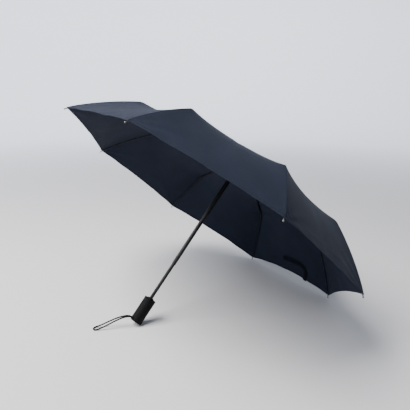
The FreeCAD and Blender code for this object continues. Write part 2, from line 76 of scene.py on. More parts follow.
wristCord = {
    "diameter": 4.0 * mm,
    "length": 0.2438,
    "route": [  # out of one hole of the eyelet, down to the floor and back into the other
        (-0.2504, 0.0028, 0.0257), (-0.2578, 0.0028, 0.0320), (-0.2662, 0.0085, 0.0330),
        (-0.2784, 0.0165, 0.0298), (-0.2939, 0.0250, 0.0236), (-0.3101, 0.0333, 0.0156),
        (-0.3262, 0.0404, 0.0079), (-0.3354, 0.0448, 0.0044), (-0.3433, 0.0479, 0.0024),
        (-0.3495, 0.0454, 0.0022), (-0.3522, 0.0394, 0.0022), (-0.3497, 0.0332, 0.0024),
        (-0.3413, 0.0297, 0.0039), (-0.3322, 0.0264, 0.0072), (-0.3157, 0.0205, 0.0148),
        (-0.2985, 0.0144, 0.0228), (-0.2818, 0.0087, 0.0294), (-0.2684, 0.0023, 0.0329),
        (-0.2578, -0.0028, 0.0320), (-0.2504, -0.0028, 0.0257),
    ],
}


def addObject(name, data):
    item = bpy.data.objects.new(name, data)
    bpy.context.scene.collection.objects.link(item)
    return item


def addCamera():
    data = bpy.data.cameras.new("camera")
    data.lens = camera["lens"]
    data.sensor_width = 36
    item = addObject("camera", data)
    heading = Matrix.Rotation(-math.radians(camera["heading"]), 3, "Z")
    tilt = Matrix.Rotation(math.radians(90 - camera["down"]), 3, "X")
    roll = Matrix.Rotation(math.radians(camera["roll"]), 3, "Z")
    item.rotation_euler = (heading @ tilt @ roll).to_euler()
    item.location = camera["place"]
    bpy.context.scene.camera = item


def addWristCord(material):
    curve = bpy.data.curves.new("wristCord", "CURVE")
    curve.dimensions = "3D"
    spline = curve.splines.new("NURBS")
    spline.points.add(len(wristCord["route"]) - 1)
    for point, place in zip(spline.points, wristCord["route"]):
        point.co = (*place, 1)
    spline.order_u = 3
    spline.use_endpoint_u = True
    spline.resolution_u = 12
    curve.bevel_depth = wristCord["diameter"] / 2
    curve.bevel_resolution = 5
    curve.use_fill_caps = True
    curve.materials.append(material)
    cord = addObject("wristCord", curve)
    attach(cord, "handle")
    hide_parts("wrist_strap")
    print("wrist cord laid")


# sRGB hex to the linear colour that the shaders take
def toLinear(hexColour):
    channels = [int(hexColour[i:i + 2], 16) / 255 for i in (1, 3, 5)]
    linear = [c / 12.92 if c <= 0.04045 else ((c + 0.055) / 1.055) ** 2.4 for c in channels]
    return (*linear, 1)


# a node with its settings; a socket given as an input is linked, anything else is a value
def addNode(tree, kind, settings=None, inputs=None):
    node = tree.nodes.new("ShaderNode" + kind)
    for name, value in (settings or {}).items():
        setattr(node, name, value)
    for name, value in (inputs or {}).items():
        if isinstance(value, bpy.types.NodeSocket):
            tree.links.new(value, node.inputs[name])
        else:
            node.inputs[name].default_value = value
    return node


# a new material with its shader set; underscores in a socket's name stand for spaces
def startMaterial(name, base, **sockets):
    material = bpy.data.materials.new(name)
    material.use_nodes = True
    shader = material.node_tree.nodes["Principled BSDF"]
    shader.inputs["Base Color"].default_value = toLinear(base)
    for socket, value in sockets.items():
        shader.inputs[socket.replace("_", " ")].default_value = value
    material.diffuse_color = toLinear(base)
    return material, material.node_tree, shader


# polyester pongee, plain-woven and piece-dyed: an even dark navy with a slight sheen at grazing light
pongee = {
    "dye": "#1b202c",
    "faded": "#252936",
    "thread": "#0c1018",
    "sheen": 0.03,
    "threadPitch": 1.3,  # mm; the real 0.15 mm is too fine to show, so it is drawn coarser
    "slubLength": 9.0,  # mm
    "cloudSize": 70.0,  # mm, patches where the dye is a little lighter
    "stitchPitch": 3.2,  # mm
    "stitchWidth": 0.9,  # mm; a real thread is 0.3 mm, drawn wider to show
    "seamStitch": 2.2,  # mm from the seam to its stitch line
    "hemStitch": 6.0,  # mm from the hem's edge to its stitch line
}

# the same cloth folded double and stitched flat, its dye painted darker as painted shade, as though it took
# the light less
tieClothWithPaintedShade = {**pongee, "dye": "#0a0d16", "faded": "#10141f", "sheen": 0.02, "cloudSize": 25.0}


def wovenCloth(name, look):
    material, tree, shader = startMaterial(
        name, look["dye"], Roughness=0.7, IOR=1.54, Specular_IOR_Level=0.06,
        Sheen_Weight=look["sheen"], Sheen_Roughness=0.45, Sheen_Tint=toLinear("#8f9bb5"),
    )
    weave = addNode(tree, "UVMap", {"uv_map": "weave"})
    across = addNode(tree, "SeparateXYZ", inputs={0: weave.outputs[0]})
    pitch = look["threadPitch"] * mm
    threads = []
    for axis in "XY":
        phase = addNode(tree, "Math", {"operation": "MULTIPLY"},
                        {0: across.outputs[axis], 1: 2 * math.pi / pitch})
        threads.append(addNode(tree, "Math", {"operation": "SINE"}, {0: phase.outputs[0]}))
    checker = addNode(tree, "Math", {"operation": "MULTIPLY"},
                      {0: threads[0].outputs[0], 1: threads[1].outputs[0]})
    drawn = addNode(tree, "Mapping", inputs={"Vector": weave.outputs[0],
                                             "Scale": (1 / pitch, 1 / (look["slubLength"] * mm), 1)})
    slubs = addNode(tree, "TexNoise", inputs={"Vector": drawn.outputs[0], "Scale": 1.0, "Detail": 3.0})
    place = addNode(tree, "TexCoord")
    clouds = addNode(tree, "TexNoise", inputs={"Vector": place.outputs["Object"], "Detail": 2.0,
                                               "Scale": 1 / (look["cloudSize"] * mm)})
    paler = addNode(tree, "MapRange", inputs={"Value": clouds.outputs["Fac"], "From Min": 0.3,
                                              "From Max": 0.75, "To Min": 0.0, "To Max": 0.4})
    dyed = addNode(tree, "Mix", {"data_type": "RGBA"},
                   {0: paler.outputs[0], 6: toLinear(look["dye"]), 7: toLinear(look["faded"])})
    uneven = addNode(tree, "MapRange", inputs={"Value": slubs.outputs["Fac"], "From Min": 0.35,
                                               "From Max": 0.7, "To Min": 0.0, "To Max": 0.5})
    threaded = addNode(tree, "Mix", {"data_type": "RGBA", "blend_type": "MULTIPLY"},
                       {0: uneven.outputs[0], 6: dyed.outputs[2], 7: toLinear("#bcc1cb")})
    stitched = stitchLines(tree, look, across)
    colour = addNode(tree, "Mix", {"data_type": "RGBA"},
                     {0: stitched.outputs[0], 6: threaded.outputs[2], 7: toLinear(look["thread"])})
    tree.links.new(colour.outputs[2], shader.inputs["Base Color"])
    relief = addNode(tree, "Math", {"operation": "MULTIPLY_ADD"},
                     {0: slubs.outputs["Fac"], 1: 0.8, 2: checker.outputs[0]})
    sunk = addNode(tree, "Math", {"operation": "MULTIPLY_ADD"},
                   {0: stitched.outputs[0], 1: -3.0, 2: relief.outputs[0]})
    bump = addNode(tree, "Bump", inputs={"Height": sunk.outputs[0], "Strength": 0.35,
                                         "Distance": 0.12 * mm})
    tree.links.new(bump.outputs[0], shader.inputs["Normal"])
    return material


# 1 on the dashes of the stitch lines along the seams and the hem, 0 elsewhere
def stitchLines(tree, look, across):
    edges = addNode(tree, "UVMap", {"uv_map": "edges"})
    distance = addNode(tree, "SeparateXYZ", inputs={0: edges.outputs[0]})
    lines = []
    for side, along, offset in (("X", "Y", look["seamStitch"]), ("Y", "X", look["hemStitch"])):
        near = addNode(tree, "Math", {"operation": "COMPARE"},
                       {0: distance.outputs[side], 1: offset * mm, 2: look["stitchWidth"] / 2 * mm})
        phase = addNode(tree, "Math", {"operation": "MULTIPLY"},
                        {0: across.outputs[along], 1: 2 * math.pi / (look["stitchPitch"] * mm)})
        wave = addNode(tree, "Math", {"operation": "SINE"}, {0: phase.outputs[0]})
        dash = addNode(tree, "Math", {"operation": "GREATER_THAN"}, {0: wave.outputs[0], 1: -0.5})
        lines.append(addNode(tree, "Math", {"operation": "MULTIPLY"},
                             {0: near.outputs[0], 1: dash.outputs[0]}))
    return addNode(tree, "Math", {"operation": "MAXIMUM"},
                   {0: lines[0].outputs[0], 1: lines[1].outputs[0]})


# a hard surface with fine grain, uneven gloss and a lighter worn colour in patches
def hardSurface(name, base, worn, grain, depth, drawn=1.0, wornShare=0.25, **sockets):
    material, tree, shader = startMaterial(name, base, **sockets)
    place = addNode(tree, "TexCoord")
    upright = shaftAxis.to_track_quat("Z", "Y").inverted().to_euler()
    lined = addNode(tree, "Mapping", inputs={"Vector": place.outputs["Object"], "Rotation": upright})
    scaled = addNode(tree, "Mapping", inputs={"Vector": lined.outputs[0], "Scale": (1, 1, drawn)})
    fine = addNode(tree, "TexNoise", inputs={"Vector": scaled.outputs[0], "Detail": 4.0,
                                             "Scale": 1 / (grain * mm)})
    patches = addNode(tree, "TexNoise", inputs={"Vector": scaled.outputs[0], "Detail": 3.0,
                                                "Scale": 1 / (14 * grain * mm)})
    share = addNode(tree, "MapRange", inputs={"Value": patches.outputs["Fac"], "From Min": 0.5,
                                              "From Max": 0.8, "To Min": 0.0, "To Max": wornShare})
    colour = addNode(tree, "Mix", {"data_type": "RGBA"},
                     {0: share.outputs[0], 6: toLinear(base), 7: toLinear(worn)})
    tree.links.new(colour.outputs[2], shader.inputs["Base Color"])
    gloss = addNode(tree, "MapRange", inputs={"Value": patches.outputs["Fac"], "From Min": 0.3,
                                              "From Max": 0.7, "To Min": sockets["Roughness"] - 0.1,
                                              "To Max": sockets["Roughness"] + 0.1})
    tree.links.new(gloss.outputs[0], shader.inputs["Roughness"])
    bump = addNode(tree, "Bump", inputs={"Height": fine.outputs["Fac"], "Strength": 0.5,
                                         "Distance": depth * mm})
    tree.links.new(bump.outputs[0], shader.inputs["Normal"])
    return material


# polyester braid: slanting strands crossing both ways, dull black, with a painted highlight on the strand
# tops and painted shade between them
braid = {"shade": "#060607", "light": "#0e0e10", "strandPitch": 1.4, "slant": 35, "depth": 0.2}


def braidedCord():
    material, tree, shader = startMaterial("braidedPolyester", braid["shade"], Roughness=0.75,
                                           Specular_IOR_Level=0.1, Sheen_Weight=0.03, Sheen_Roughness=0.5)
    place = addNode(tree, "TexCoord")
    bands = []
    for slant in (1, -1):
        turned = addNode(tree, "Mapping", inputs={"Vector": place.outputs["Object"],
                                                  "Rotation": (0, 0, slant * math.radians(braid["slant"]))})
        bands.append(addNode(tree, "TexWave", {"bands_direction": "X"},
                             {"Vector": turned.outputs[0], "Distortion": 0.6, "Detail": 1.0,
                              "Scale": 1 / (2 * math.pi * braid["strandPitch"] * mm)}))
    strands = addNode(tree, "Math", {"operation": "MULTIPLY"},
                      {0: bands[0].outputs["Fac"], 1: bands[1].outputs["Fac"]})
    # painted highlight where the strands cross high, painted shade in the grooves between them
    colour = addNode(tree, "Mix", {"data_type": "RGBA"},
                     {0: strands.outputs[0], 6: toLinear(braid["shade"]), 7: toLinear(braid["light"])})
    tree.links.new(colour.outputs[2], shader.inputs["Base Color"])
    bump = addNode(tree, "Bump", inputs={"Height": strands.outputs[0], "Strength": 0.3,
                                         "Distance": braid["depth"] * mm})
    tree.links.new(bump.outputs[0], shader.inputs["Normal"])
    return material


# the umbrella's own lines, read from the joints

def placeOf(joint):
    return Vector(joints[joint]["pos_m"])


shaftAxis = -Vector(joints["fold"]["axis"]).normalized()  # from the handle to the crown
hinges = [placeOf(f"crown_hinge_{k}") for k in range(1, ribCount + 1)]
crownCentre = sum(hinges, Vector()) / ribCount
towardsFloor = ((hinges[4] + hinges[5]) / 2 - crownCentre).normalized()
shaftFrame = Matrix.Translation(crownCentre) @ Matrix(
    (towardsFloor, shaftAxis.cross(towardsFloor), shaftAxis)).transposed().to_4x4()
toShaft = shaftFrame.inverted()


# azimuth of rib k about the shaft, zero half-way between ribs 5 and 6
def ribAngle(k):
    return math.radians(360 / ribCount * (k - 5.5))


# (distance from the shaft, height over the crown hinges) of a point
def radialPoint(place):
    local = toShaft @ place
    return Vector((math.hypot(local.x, local.y), local.z))


def tipMiddle(k):
    low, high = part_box(f"rib_tip_{k}")
    return (low + high) / 2


crownHinge = radialPoint(hinges[0])
innerKnuckle = radialPoint(placeOf("inner_knuckle_1"))
outerKnuckle = radialPoint(placeOf("outer_knuckle_1"))
tipCentre = sum((radialPoint(tipMiddle(k)) for k in range(1, ribCount + 1)), Vector((0, 0))) / ribCount

canopy = {
    "overRib": 3.5 * mm,  # outer face of the cloth over a rib's middle line
    "overKnuckle": 5.9 * mm,
    "underCap": (6 * mm, 7.8 * mm),
    "kneeRound": 7 * mm,
    "kneeRows": 6,
    "ribBow": 6.5 * mm,  # the outer ribs are bent outward by the cloth's pull
    "rowStep": 3.6 * mm,
    "halfColumns": 12,
    "columnPower": 1.5,  # above 1 sets the columns closer together at the seams
    "cloth": 0.35 * mm,
    "seamCloth": 0.9 * mm,
    "seamWidth": 6 * mm,
    "hemWidth": 7 * mm,
    "edgeTaper": 2 * mm,  # over which a seam or hem thins to a single cloth
    "rosetteEdge": 26 * mm,
    "pucker": 0.55 * mm,  # of the cloth drawn in by the seam's thread
    "puckerLength": 13 * mm,
    "puckerReach": 4 * mm,  # from the seam
    "puckerDrift": (21, 34, 13),  # mm, waves that make the puckers uneven
    "crease": 1.3 * mm,  # left down the middle of a gore by folding
    "creaseWidth": 4 * mm,
    "creaseStart": 150 * mm,  # from the crown, where it has its full depth
    "fullness": 0.8 * mm,  # of the hem, in slow waves
    "fullnessWaves": (11, 17, 26),  # mm
    "fullnessReach": 30 * mm,  # into the gore from the hem
    "calmReach": 30 * mm,  # from a seam, within which its pull takes the waves out
    "cornerFold": 0.8 * mm,  # folds that fan out from a rib's tip
    "cornerReach": 28 * mm,
    "cornerFans": 11,
    "ridge": 0.45 * mm,  # where the folded cloth was bent
    "ridgeWidth": 3 * mm,
    "hemRidge": 28 * mm,  # from the hem to its ridge
    "kneeRidge": 20 * mm,  # from a knuckle's row to its ridge
    "foldedShare": 0.06,
}

# a gore's tension: along it against across it, where more sags further between the knees,
# and in metres the hem's own, where less cuts a deeper scallop
goreTension = {
    "usual": (0.40, 0.90),
    "gore3": (0.30, 0.60),
    "gore4": (0.40, 0.55),
    "gore5": (0.40, 0.32),
}


# points from a up to b about a row step apart, without b
def steps(a, b):
    count = max(2, round((b - a).length / canopy["rowStep"]))
    return [a.lerp(b, i / count) for i in range(count)]


# the cloth's line over a rib, from under the cap over the knee to the hem, with the knuckles' rows
def ribProfile():
    outward = (tipCentre - outerKnuckle).normalized()
    normal = Vector((-outward.y, outward.x))
    inward = (outerKnuckle - crownHinge).normalized()
    kneeNormal = (normal + Vector((-inward.y, inward.x))).normalized()
    start = Vector(canopy["underCap"])
    knee = outerKnuckle + kneeNormal * canopy["overKnuckle"]
    hem = tipCentre + normal * canopy["overRib"]
    before = knee + (start - knee).normalized() * canopy["kneeRound"]
    after = knee + (hem - knee).normalized() * canopy["kneeRound"]
    points = steps(start, before)
    knuckle = min(range(len(points)), key=lambda i: abs(points[i].x - innerKnuckle.x))
    rounding = canopy["kneeRows"]
    for i in range(rounding):
        t = i / rounding
        points.append(before.lerp(knee, t).lerp(knee.lerp(after, t), t))
    kneeAt = len(points) - rounding // 2
    points += steps(after, hem) + [hem]
    for i in range(kneeAt, len(points)):
        share = (points[i] - knee).dot(outward) / (hem - knee).length
        points[i] = points[i] + normal * canopy["ribBow"] * 4 * share * (1 - share)
    return points, knuckle, kneeAt


profile, knuckleRow, kneeRow = ribProfile()
rowCount = len(profile)
rosetteRow = min(range(rowCount), key=lambda i: abs(profile[i].x - canopy["rosetteEdge"]))
shares = (np.arange(canopy["halfColumns"] + 1) / canopy["halfColumns"]) ** canopy["columnPower"]
columns = np.concatenate([-1 + shares, (1 - shares[::-1])[1:]])  # -1 and 1 on the ribs, 0 between
middleColumn = canopy["halfColumns"]
columnCount = len(columns)


# one gore as a net of pulling threads held on its two ribs, at rest under its own tension
def stretchedGore(alongTension, hemTension):
    half = math.pi / ribCount
    radii = np.array([p.x for p in profile])
    net = np.zeros((rowCount, columnCount, 3))
    net[:, :, 0] = (radii * math.cos(half))[:, None]
    net[:, :, 1] = (radii * math.sin(half))[:, None] * columns[None, :]
    net[:, :, 2] = np.array([p.y for p in profile])[:, None]
    inner = columnCount - 2
    free = (rowCount - 1) * inner
    for _ in range(3):
        down = np.linalg.norm(np.diff(net, axis=0), axis=2)
        wide = np.linalg.norm(np.diff(net, axis=1), axis=2)
        width = np.zeros((rowCount, columnCount))
        width[:, 1:-1] = (wide[:, 1:] + wide[:, :-1]) / 2
        alongPull = alongTension * (width[1:] + width[:-1]) / 2 / down
        height = np.zeros((rowCount, columnCount))
        height[1:] += down / 2
        height[:-1] += down / 2
        acrossPull = (height[:, 1:] + height[:, :-1]) / 2 / wide
        acrossPull[-1] += hemTension / wide[-1]
        matrix = np.zeros((free, free))
        loads = np.zeros((free, 3))
        for i in range(1, rowCount):
            for j in range(1, columnCount - 1):
                at = (i - 1) * inner + j - 1
                threads = [(i, j - 1, acrossPull[i, j - 1]), (i, j + 1, acrossPull[i, j]),
                           (i - 1, j, alongPull[i - 1, j])]
                if i < rowCount - 1:
                    threads.append((i + 1, j, alongPull[i, j]))
                for row, column, pull in threads:
                    matrix[at, at] += pull
                    if row == 0 or column in (0, columnCount - 1):
                        loads[at] += pull * net[row, column]
                    else:
                        matrix[at, (row - 1) * inner + column - 1] -= pull
        net[1:, 1:-1] = np.linalg.solve(matrix, loads).reshape(rowCount - 1, inner, 3)
    return net


def gridNormals(grid):
    normals = np.cross(np.gradient(grid, axis=0), np.gradient(grid, axis=1))
    return normals / np.maximum(np.linalg.norm(normals, axis=2, keepdims=True), 1e-12)


# distance along a cloth grid, across it from its middle, to the nearer side and to the far end
def distances(grid):
    wide = np.linalg.norm(np.diff(grid, axis=1), axis=2)
    across = np.concatenate([np.zeros((len(grid), 1)), np.cumsum(wide, axis=1)], axis=1)
    down = np.linalg.norm(np.diff(grid, axis=0), axis=2)
    along = np.concatenate([np.zeros((1, grid.shape[1])), np.cumsum(down, axis=0)], axis=0)
    return {"along": along, "across": across - across[:, -1:] / 2,
            "seam": np.minimum(across, across[:, -1:] - across), "hem": along[-1:] - along}


def clothLayers(measure):
    return {"weave": np.stack([measure["across"], measure["along"]], axis=2),
            "edges": np.stack([measure["seam"], measure["hem"]], axis=2)}


def waves(chance, distance, lengths):
    return sum(chance.uniform(0.5, 1) * np.sin(distance / (length * mm) + chance.uniform(0, 6.3))
               for length in lengths)


# the gore with its seam puckers, its fullness at the hem, its corner folds and its old creases
def workedGore(net, seed):
    chance = np.random.RandomState(seed)
    measure = distances(net)
    shift = np.zeros((rowCount, columnCount))
    for rib in (slice(0, middleColumn + 1), slice(middleColumn, columnCount)):
        seam = measure["seam"][:, rib]
        along = measure["along"][:, rib]
        hem = measure["hem"][:, rib]
        drift = waves(chance, along, canopy["puckerDrift"])
        wave = np.sin(2 * math.pi * along / canopy["puckerLength"] + drift)
        near = seam / canopy["puckerReach"]
        shift[:, rib] += canopy["pucker"] * wave * near * np.exp(1 - near) / 2
        reach = np.hypot(seam, hem) / canopy["cornerReach"]
        fan = np.sin(canopy["cornerFans"] * np.arctan2(seam, hem) + chance.uniform(0, 6.3))
        shift[:, rib] += canopy["cornerFold"] * fan * reach * np.exp(1 - reach) * (hem > 0)
    calm = 1 - np.exp(-measure["seam"] / canopy["calmReach"])
    hem = np.exp(-measure["hem"] / canopy["fullnessReach"])
    shift += canopy["fullness"] * hem * waves(chance, measure["across"], canopy["fullnessWaves"]) * calm
    fold = canopy["crease"] * chance.uniform(0.6, 1.0)
    deepening = np.minimum(1, measure["along"] / canopy["creaseStart"])
    shift -= fold * np.exp(-np.abs(measure["across"]) / canopy["creaseWidth"]) * deepening
    # a soft ridge along the hem, and one across at each knuckle, where the folded cloth was bent
    curved = 6 * mm * np.sin(measure["across"] / (50 * mm))
    ridges = [np.abs(measure["hem"] - canopy["hemRidge"] - curved)]
    for row in (knuckleRow, kneeRow):
        past = measure["along"] - measure["along"][row, middleColumn]
        ridges.append(np.abs(past - canopy["kneeRidge"]))
    for ridge in ridges:
        height = canopy["ridge"] * chance.uniform(0.4, 1)
        shift += height * np.exp(-ridge / canopy["ridgeWidth"]) * calm
    shift[0] = 0
    return net + gridNormals(net) * shift[:, :, None]


# points of a gore's own frame, turned about the shaft and set into the model's frame
def turned(points, angle):
    matrix = np.array(shaftFrame @ Matrix.Rotation(angle, 4, "Z"))
    return points @ matrix[:3, :3].T + matrix[:3, 3]


def clothThickness(measure):
    taper = canopy["edgeTaper"]
    seam = np.clip((canopy["seamWidth"] + taper - measure["seam"]) / taper, 0, 1)
    hem = np.clip((canopy["hemWidth"] + taper - measure["hem"]) / taper, 0, 1)
    return canopy["cloth"] + (canopy["seamCloth"] - canopy["cloth"]) * np.maximum(seam, hem)


# a closed thin mesh: the grid is its outer face, and the same grid moved inward its inner face
def clothPiece(name, grid, normals, thickness, layers, material):
    rows, across = grid.shape[:2]
    inner = grid - normals * thickness[:, :, None]
    vertices = np.concatenate([grid.reshape(-1, 3), inner.reshape(-1, 3)])
    skin = rows * across
    faces = []
    for i in range(rows - 1):
        for j in range(across - 1):
            a = i * across + j
            b = a + across
            faces.append((a, b, b + 1, a + 1))
            faces.append((skin + a, skin + a + 1, skin + b + 1, skin + b))
    rim = list(range(across)) + [i * across + across - 1 for i in range(1, rows)]
    rim += [(rows - 1) * across + j for j in range(across - 2, -1, -1)]
    rim += [i * across for i in range(rows - 2, 0, -1)]
    for a, b in zip(rim, rim[1:] + rim[:1]):
        faces.append((a, b, skin + b, skin + a))
    mesh = bpy.data.meshes.new(name)
    mesh.from_pydata(vertices.tolist(), [], faces)
    mesh.materials.append(material)
    loops = np.zeros(len(mesh.loops), dtype=np.int64)
    mesh.loops.foreach_get("vertex_index", loops)
    for layer, values in layers.items():
        flat = np.concatenate([values.reshape(-1, 2)] * 2)
        mesh.uv_layers.new(name=layer).data.foreach_set("uv", flat[loops].reshape(-1))
    mesh.polygons.foreach_set("use_smooth", [True] * len(faces))
    both = np.concatenate([normals.reshape(-1, 3), -normals.reshape(-1, 3)])
    custom = both[loops]
    custom[8 * (rows - 1) * (across - 1):] = 0  # the rim's corners keep their own normals
    mesh.normals_split_custom_set(custom.tolist())
    return addObject(name, mesh)


# the cloth piece gets its own mesh and rides on its rib's arm; its line along the rib and its way sideways
# are worked out but not used
def gatherOnRib(piece, rib, middle, arm):
    ribWay = rib[-1] - rib[0]
    ribWay = ribWay / np.linalg.norm(ribWay)
    sideways = (middle - rib).mean(axis=0)
    sideways -= ribWay * sideways.dot(ribWay)
    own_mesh(piece)
    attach(piece, arm)


def makeGores():
    nets = {}
    gores = {}
    for k in range(1, ribCount + 1):
        tension = goreTension.get(f"gore{k}", goreTension["usual"])
        if tension not in nets:
            nets[tension] = stretchedGore(*tension)
            print("net stretched at", tension)
        worked = workedGore(nets[tension], 40 + k)
        angle = ribAngle(k) + math.pi / ribCount
        measure = distances(nets[tension])
        gores[k] = {
            "grid": turned(worked, angle),
            "normals": turned(gridNormals(worked), angle) - np.array(crownCentre),
            "thickness": clothThickness(measure),
            "layers": clothLayers(measure),
        }
    return gores


# each gore is cut along its middle and at the knuckles, into pieces that ride on the ribs' own parts
def addCanopy(gores, material):
    zones = [("upper", rosetteRow, knuckleRow, "upper_arm"), ("middle", knuckleRow, kneeRow, "middle_arm"),
             ("outer", kneeRow, rowCount - 1, "outer_arm")]
    for k in range(1, ribCount + 1):
        before = gores[(k - 2) % ribCount + 1]
        sides = {"Left": (gores[k], slice(0, middleColumn + 1)),
                 "Right": (before, slice(middleColumn, columnCount))}
        for zone, first, last, arm in zones:
            for side, (gore, half) in sides.items():
                window = (slice(first, last + 1), half)
                grid = gore["grid"][window]
                layers = {layer: values[window] for layer, values in gore["layers"].items()}
                piece = clothPiece(f"{zone}Panel{side}_{k}", grid, gore["normals"][window],
                                   gore["thickness"][window], layers, material)
                ends = (grid[:, 0], grid[:, -1]) if side == "Left" else (grid[:, -1], grid[:, 0])
                gatherOnRib(piece, *ends, f"{arm}_{k}")
        addCrownPanel(k, sides, material)
    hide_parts("canopy")


# the cloth around the crown over rib k, left fixed in the model's frame
def addCrownPanel(k, sides, material):
    parts = [(sides["Right"][0], (slice(0, rosetteRow + 1), slice(middleColumn, columnCount))),
             (sides["Left"][0], (slice(0, rosetteRow + 1), slice(1, middleColumn + 1)))]

    def joined(pick):
        return np.concatenate([pick(gore)[window] for gore, window in parts], axis=1)

    grid = joined(lambda gore: gore["grid"])
    layers = {layer: joined(lambda gore: gore["layers"][layer]) for layer in ("weave", "edges")}
    piece = clothPiece(f"crownPanel_{k}", grid, joined(lambda gore: gore["normals"]),
                       joined(lambda gore: gore["thickness"]), layers, material)
    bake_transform(piece)
    return piece


# the tie that closes the rolled canopy: sewn to the hem, it lies loose on the inside of gore 5
tie = {
    "route": [  # (share from the knee to the hem, place across the gore from -1 to 1)
        (1.03, -0.45), (0.96, -0.45), (0.88, -0.46), (0.78, -0.46), (0.68, -0.41), (0.646, -0.21),
        (0.658, 0.07)],
    "halfWidth": 7.5 * mm,
    "thickness": 0.9 * mm,
    "clear": 1.8 * mm,  # off the canopy's inner face
    "lift": 4.0 * mm,  # of the free end
    "ripple": 0.8 * mm,
    "cup": 0.5 * mm,  # of its edges towards the canopy
    "stations": 36,
    "columns": 9,
}


# a point of the gore's grid between its rows and columns; a share over 1 runs on past the hem
def onGore(values, share, across):
    row = kneeRow + share * (rowCount - 1 - kneeRow)
    i = min(int(row), rowCount - 2)
    line = values[i] + (values[i + 1] - values[i]) * (row - i)
    return np.array([np.interp(across, columns, line[:, axis]) for axis in range(3)])


# a smooth line through route points: a quadratic spline whose control points they are
def smoothRoute(points, count):
    points = np.array([points[0]] + list(points) + [points[-1]], dtype=float)
    spans = len(points) - 2
    line = []
    for at in np.linspace(0, spans, count):
        i = min(int(at), spans - 1)
        t = at - i
        first, second, third = points[i:i + 3]
        line.append((1 - t) ** 2 / 2 * first + (0.5 + t - t * t) * second + t * t / 2 * third)
    return line


def addTie(gore, material):
    centres = []
    outward = []
    for i, (share, across) in enumerate(smoothRoute(tie["route"], tie["stations"])):
        normal = onGore(gore["normals"], share, across)
        free = i / (tie["stations"] - 1)
        risen = tie["lift"] * free ** 3 + tie["ripple"] * math.sin(9 * free)
        off = canopy["seamCloth"] + tie["clear"] + risen
        centres.append(onGore(gore["grid"], share, across) - normal * off)
        outward.append(normal)
    centres = np.array(centres)
    outward = np.array(outward)
    way = np.gradient(centres, axis=0)
    sideways = np.cross(way, outward)
    sideways /= np.linalg.norm(sideways, axis=1, keepdims=True)
    span = np.linspace(-1, 1, tie["columns"])[None, :, None]
    cupped = tie["cup"] * span ** 2 * outward[:, None, :]
    grid = centres[:, None, :] + sideways[:, None, :] * (span * tie["halfWidth"]) + cupped
    measure = distances(grid)
    thickness = np.full(grid.shape[:2], tie["thickness"])
    piece = clothPiece("tieStrap", grid, gridNormals(grid), thickness, clothLayers(measure), material)
    window = gore["grid"][kneeRow:, :middleColumn + 1]
    gatherOnRib(piece, window[:, 0], window[:, -1], "outer_arm_5")
    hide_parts("closure_strap")
    print("tie strap sewn on")


# turns of thread round a rib and through the seam over it
threadTie = {
    "thread": 0.3 * mm,  # radius
    "turns": 3,
    "turnSteps": 22,
    "sides": 6,
    "pitch": 0.7 * mm,
    "halfWidth": 1.9 * mm,
    "below": 2.1 * mm,  # the rib's middle line to the loop's lowest point
    "outerShares": (0.36, 0.70),  # places along the outer rib
    "middleShares": (0.5,),
}


def addThreadTies(material):
    for k in range(1, ribCount + 1):
        for zone, arm, first, last in (("middle", "middle_arm", knuckleRow, kneeRow),
                                       ("outer", "outer_arm", kneeRow, rowCount - 1)):
            for n, share in enumerate(threadTie[f"{zone}Shares"]):
                row = round(first + share * (last - first))
                way = (profile[row + 1] - profile[row - 1]).normalized()
                piece = threadLoop(f"{zone}Tie{n + 1}_{k}", profile[row], way, k, material)
                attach(piece, f"{arm}_{k}")
    print("thread ties knotted")


# a closed tube along a few flat turns, in the plane square to the rib
def threadLoop(name, seamPoint, way, k, material):
    count = threadTie["turnSteps"]
    sides = threadTie["sides"]
    up = Vector((-way.y, way.x))
    top = -canopy["cloth"]
    bottom = -canopy["overRib"] - threadTie["below"]
    vertices = []
    rings = count * threadTie["turns"]
    for i in range(rings):
        angle = 2 * math.pi * i / count
        along = threadTie["pitch"] * (i / count - threadTie["turns"] / 2)
        side = Vector((threadTie["halfWidth"] * math.sin(angle), math.cos(angle) * (top - bottom) / 2))
        outward = Vector((side.x, side.y)).normalized()
        for j in range(sides):
            turn = 2 * math.pi * j / sides
            ring = side + outward * threadTie["thread"] * math.cos(turn)
            flat = seamPoint + way * (along + threadTie["thread"] * math.sin(turn)) + up * (
                ring.y + (top + bottom) / 2)
            vertices.append(Vector((flat.x, ring.x, flat.y)))
    place = shaftFrame @ Matrix.Rotation(ribAngle(k), 4, "Z")
    faces = []
    for i in range(rings - 1):
        for j in range(sides):
            a, b = i * sides + j, i * sides + (j + 1) % sides
            faces.append((a, b, b + sides, a + sides))
    faces.append(tuple(range(sides - 1, -1, -1)))
    faces.append(tuple((rings - 1) * sides + j for j in range(sides)))
    mesh = bpy.data.meshes.new(name)
    mesh.from_pydata([tuple(place @ vertex) for vertex in vertices], [], faces)
    mesh.polygons.foreach_set("use_smooth", [True] * len(faces))
    mesh.materials.append(material)
    return addObject(name, mesh)


# a pale studio cove: a round floor that curves up into a low wall, under a dim sky and one large lamp; the
# wall glows with painted light
stage = {
    "board": "#bcbec2",
    "sky": "#dfe6f2",
    "skyStrength": 0.35,
    "glow": (0.25, 1.6),  # of the wall itself, at its dim and its bright side
    "glowStart": 1.0,
    "brightSide": (-0.25, 0.97),  # direction on the floor in which the wall is brightest
    "floorReach": 3.6,
    "wallRound": 1.2,
    "roundSteps": 12,
    "wallTop": 2.6,
    "around": 96,
    "aim": (0, 0, 0.25),
    "lights": [  # name, place, colour, watts, size
        ("keyWindow", (-1.35, 0.30, 2.45), "#fff9f4", 235, 1.8),
    ],
}


